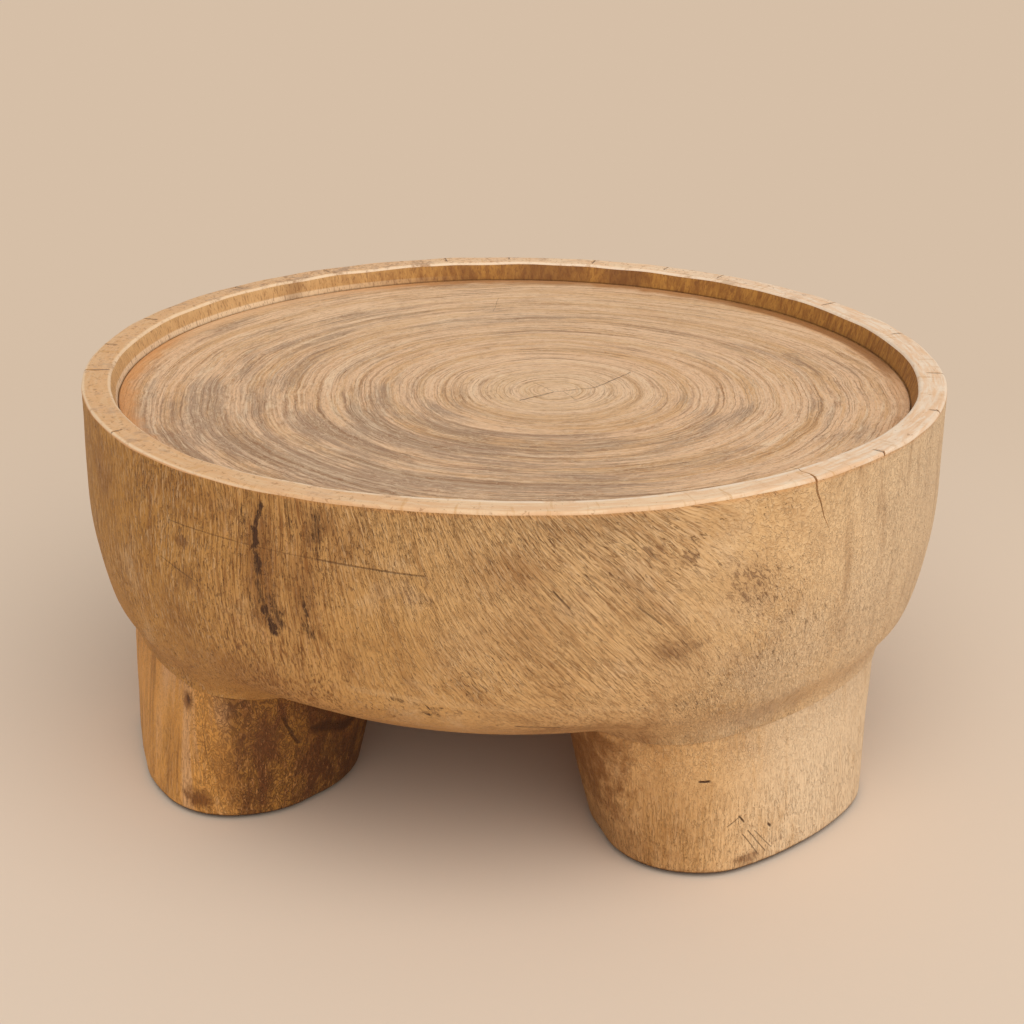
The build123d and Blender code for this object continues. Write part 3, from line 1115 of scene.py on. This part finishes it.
def tray_finish():
    wood = Finish("tray_rings")
    x, y, _ = wood.parts(wood.vector_math("ADD", wood.place, (-PITH[0] * MM, -PITH[1] * MM, 0)))
    sway = wood.clouds(wood.place, 4)
    wobble = wood.clouds(wood.place, 24, 3, 0.6)
    radius = wood.size(x, y) + (sway - 0.5) * 0.03 + (wobble - 0.5) * 0.006

    def rings(across, along, detail, roughness, distortion=0.0):
        """Noise in rings about the pith, at so many features a metre across and along them."""
        rolled = wood.vector(radius * across, x * along, y * along)
        return wood.clouds(rolled, 1, detail, roughness, distortion)

    bands = rings(60, 4, 4, 0.6)
    lines = rings(210, 3, 4, 0.75, 0.2)
    weather = rings(30, 6, 5, 0.7)
    fine = rings(500, 120, 2, 0.6)
    ringed = wood.vector(radius, x, y)
    threads = wood.strokes(ringed, (120, 3, 3), 0.035, 0.3)
    glints = wood.strokes(ringed, (170, 4, 4), 0.03, 0.3)
    nicks = wood.strokes(ringed, (260, 70, 70), 0.06, 1.2)
    front = y.past(0.1, -0.26) * x.past(0.3, -0.12)
    heart = radius.past(0.15, 0.04)

    wood.base = wood.mix(bands.past(0.42, 0.62) * 0.45, "tan", "honey")
    wood.coat(wood.strongest(heart, y.past(0.05, 0.32) * 0.6) * 0.3, "cream")
    grey = weather + (lines - 0.5) * 0.4 + front * 0.17 + x.past(-0.02, -0.3) * 0.04 - heart * 0.2
    wood.coat(grey.past(0.5, 0.72) * 0.65, "weathered")
    wood.coat(lines.past(0.53, 0.63) * 0.38, "brown")
    wood.coat(lines.past(0.46, 0.38) * 0.3, "cream")
    wood.coat(threads * wobble.past(0.4, 0.6) * 0.5, "brown")
    wood.coat(glints * wobble.past(0.6, 0.4) * 0.5, "cream")
    wood.coat(fine.past(0.5, 0.34) * 0.3, "brown")
    wood.coat(nicks * wobble.past(0.35, 0.6) * 0.35, "cream")

    # Star of checks at the pith, and hairlines across the rings
    ragged = wood.clouds(wood.place, 60, 3, 0.6) - 0.5
    checks = wood.streaks(wood.x / MM, wood.y / MM, ragged, TRAY_CHECKS)
    wood.coat(checks, "umber")

    # Oiled ring, painted shadow along the edge at the right, and dark seam at the wall's foot
    edge = wood.size(wood.x, wood.y)
    oiled = 0.3 + 0.5 * wood.strongest(wood.y.past(-0.1, 0.25), wood.x.past(-0.1, -0.3))
    dim = wood.y.past(0.24, 0.36) * wood.x.past(-0.22, -0.05)
    edge_shadow = wood.x.past(0.18, 0.3) * wood.y.past(-0.02, 0.08) * edge.past(*SHADOWED_EDGE)
    lit = wood.x.past(-0.12, -0.25) * wood.x.past(-0.4, -0.36) * wood.y.past(0, 0.1)
    oil = wood.mix(lit * 0.5, wood.mix(dim * 0.55, "amber", "brown"), "cream")
    wood.coat((edge + (wobble - 0.5) * 0.03).past(*OILED_RING) * oiled, oil)
    # Painted shadow along the tray's edge at the right
    wood.coat(edge_shadow * 0.7, "brown")
    wood.coat(edge.past(*DARK_SEAM) * (0.35 + oiled * 0.4), "umber")
    height = lines + fine * 0.6 - threads * 0.3 + nicks * 0.2 - checks * 0.6
    return wood.surface(0.55 + (lines - 0.5) * 0.3, height, 1.2 * MM)


def leg_finish(name):
    wood = Finish("leg_wood_" + name)
    across, up = side_place(wood)
    ragged = wood.clouds(wood.place, 80, 4, 0.7) - 0.5
    broad = wood.grain(wood.place, (50, 50, 9), 4, 0.6, 0.5)
    plain_wood(wood)
    # Partly painted light: golden lightens the shaded left leg; partly the fresh wood's tone
    wood.coat(0.1 + wood.x.past(0.32, -0.3) * 0.8, "golden")
    # Painted light: cream on the legs' right sides, where the light falls
    wood.coat(wood.x.past(0.17, 0.3) * 0.9, "cream")
    wood.coat(broad.past(0.5, 0.75) * 0.45, "honey")
    relief, worms = carving(wood, wood.place, up.past(60, 130))
    bright = 1.0
    if name == "left":
        # Dark figured heartwood, and striped wood beside it
        clouds = wood.grain(wood.place, (34, 34, 16), 5, 0.7, 0.6)
        edge = wood.x + ragged * 0.03 + up * 0.0001
        figured = edge.past(-0.284, -0.254)
        bright = 1 - figured * 0.8
        deep = wood.mix(0.3 + clouds.past(0.38, 0.6) * 0.7, "honey", "heart")
        deep = wood.mix(wood.x.past(-0.23, -0.14) * broad.past(0.42, 0.6) * 0.85, deep, "umber")
        stripes = wood.grain(wood.place, (26, 26, 3), 3, 0.6, 0.4)
        wood.coat(stripes.past(0.48, 0.62) * 0.5, "tan")
        wood.coat(stripes.past(0.46, 0.34) * 0.5, "brown")
        wood.coat(figured, deep)
        curls = wood.strokes(wood.place, (130, 130, 80), 0.09, 2.0) * edge.past(-0.325, -0.3)
        # Painted highlights: amber on the raised strokes of the figured heartwood
        wood.coat(relief.past(0.53, 0.66) * figured * 0.45, "amber")
        wood.coat(curls * (0.3 + figured * 0.35), "umber")
        relief = relief - curls * 0.15
    carved(wood, relief, worms, 0.45 - wood.x.past(0.15, 0.3) * 0.15, bright)

    # Marks of use, and the wood darker towards the sole
    marks = LEG_MARKS[name]
    # Stains, and painted shade on the right front leg's left side
    wood.coat(wood.spots(across, up, ragged, marks["stains_and_shade"]), "brown")
    splits = wood.streaks(across, up, ragged * 0.3, marks["splits"])
    wood.coat(splits, "umber")
    dirt = wood.broken(wood.spots(across, up, ragged, marks["grime"]), relief)
    wood.coat(dirt * 0.6, "heart")
    wood.coat((up + ragged * 14).past(9, 3) * 0.6, "brown")
    wood.coat(up.past(7, 5) * 0.85, "umber")
    height = relief - worms * 0.25 - splits * 0.5
    return wood.surface(0.58 + (relief - 0.5) * 0.3, height, 3 * MM)


def wedge_finish():
    wood = Finish("wedge_wood")
    grain = wood.grain(wood.place, (300, 300, 30), 3, 0.6)
    wood.base = wood.mix(grain.past(0.3, 0.7), "cream", "honey")
    return wood.surface(0.6 + (grain - 0.5) * 0.2, grain, 0.5 * MM)


def felt_finish():
    wood = Finish("felt")
    hairs = wood.clouds(wood.place, 900, 3, 0.7)
    dark = [level * 0.5 for level in bpy.context.scene.drum_table_colours.felt]
    wood.base = wood.mix(hairs.past(0.3, 0.7), dark, "felt")
    return wood.surface(0.92 + (hairs - 0.5) * 0.1, hairs, 0.6 * MM, specular=0.1)


class OBJECT_OT_drum_table_fittings(bpy.types.Operator):
    """Finishes the tenon wedges and the felt pads"""

    bl_idname = "object.drum_table_fittings"
    bl_label = "Wedges and pads"

    def execute(self, context):
        finishes = {"wedge": wedge_finish(), "pad": felt_finish()}
        for name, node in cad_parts.items():
            kind = name.split("_")[0]
            if kind in finishes:
                for slot in node.material_slots:
                    slot.material = finishes[kind]
        return {"FINISHED"}


# Stage

class OBJECT_OT_drum_table_stage(bpy.types.Operator):
    """Sets up the floor, the soft light and the camera"""

    bl_idname = "object.drum_table_stage"
    bl_label = "Stage"

    def execute(self, context):
        settings = context.scene.drum_table_stage
        scene = context.scene
        bm = bmesh.new()
        bmesh.ops.create_grid(bm, x_segments=1, y_segments=1, size=FLOOR_SIZE)
        floor = new_object("floor", new_mesh(bm, "floor"))
        finish = Finish("floor_paint")
        speckle = finish.clouds(finish.place, 300)
        # Painted shade: the floor darker away from the table
        far = finish.y.past(-0.4, 1.3)
        finish.base = finish.mix(speckle * 0.02 + far, settings.floor, settings.far_floor)
        floor.data.materials.append(finish.surface(0.85, speckle, 0.05 * MM, specular=0))

        lamp = bpy.data.lights.new("key", "SUN")
        lamp.energy = settings.key_energy
        lamp.angle = settings.key_softness
        turn = Matrix.Rotation(settings.key_side, 4, "Z") @ Matrix.Rotation(settings.key_lean, 4, "Y")
        new_object("key", lamp).matrix_world = turn

        world = bpy.data.worlds.new("even_light")
        world.use_nodes = True
        sky = world.node_tree.nodes["Background"]
        sky.inputs["Color"].default_value = (1.0, 1.0, 1.0, 1)
        sky.inputs["Strength"].default_value = settings.fill_strength
        scene.world = world

        view = bpy.data.cameras.new("camera")
        view.lens = settings.lens
        view.sensor_width = SENSOR_WIDTH
        camera = new_object("camera", view)
        place = Matrix.Translation(CAMERA_PLACE)
        tilt = Matrix.Rotation(math.pi / 2 - settings.tilt, 4, "X")
        camera.matrix_world = place @ tilt @ Matrix.Rotation(settings.roll, 4, "Z")
        scene.camera = camera
        scene.view_settings.view_transform = "Standard"
        return {"FINISHED"}


class VIEW3D_PT_drum_table(bpy.types.Panel):
    """Lists the steps that build the table"""

    bl_label = "Drum table"
    bl_space_type = "VIEW_3D"
    bl_region_type = "UI"
    bl_category = "Drum Table"

    def draw(self, context):
        for settings in GROUPS:
            group = getattr(context.scene, settings)
            for name in group.bl_rna.properties.keys():
                if name not in {"rna_type", "name"}:
                    self.layout.prop(group, name)
        for step in STEPS:
            self.layout.operator(step.bl_idname)


GROUPS = {
    "drum_table_carving": CarvingSettings,
    "drum_table_colours": WoodColours,
    "drum_table_stage": StageSettings,
}
STEPS = (
    OBJECT_OT_drum_table_stage,
    OBJECT_OT_drum_table_drum,
    OBJECT_OT_drum_table_tray,
    OBJECT_OT_drum_table_legs,
    OBJECT_OT_drum_table_fittings,
)


def register():
    for name, group in GROUPS.items():
        bpy.utils.register_class(group)
        setattr(bpy.types.Scene, name, PointerProperty(type=group))
    for step in STEPS:
        bpy.utils.register_class(step)
    bpy.utils.register_class(VIEW3D_PT_drum_table)


def unregister():
    bpy.utils.unregister_class(VIEW3D_PT_drum_table)
    for step in reversed(STEPS):
        bpy.utils.unregister_class(step)
    for name, group in reversed(GROUPS.items()):
        delattr(bpy.types.Scene, name)
        bpy.utils.unregister_class(group)


def main():
    register()
    bpy.ops.object.drum_table_stage()
    bpy.ops.object.drum_table_drum()
    bpy.ops.object.drum_table_tray()
    bpy.ops.object.drum_table_legs()
    bpy.ops.object.drum_table_fittings()


if __name__ == "__main__":
    main()
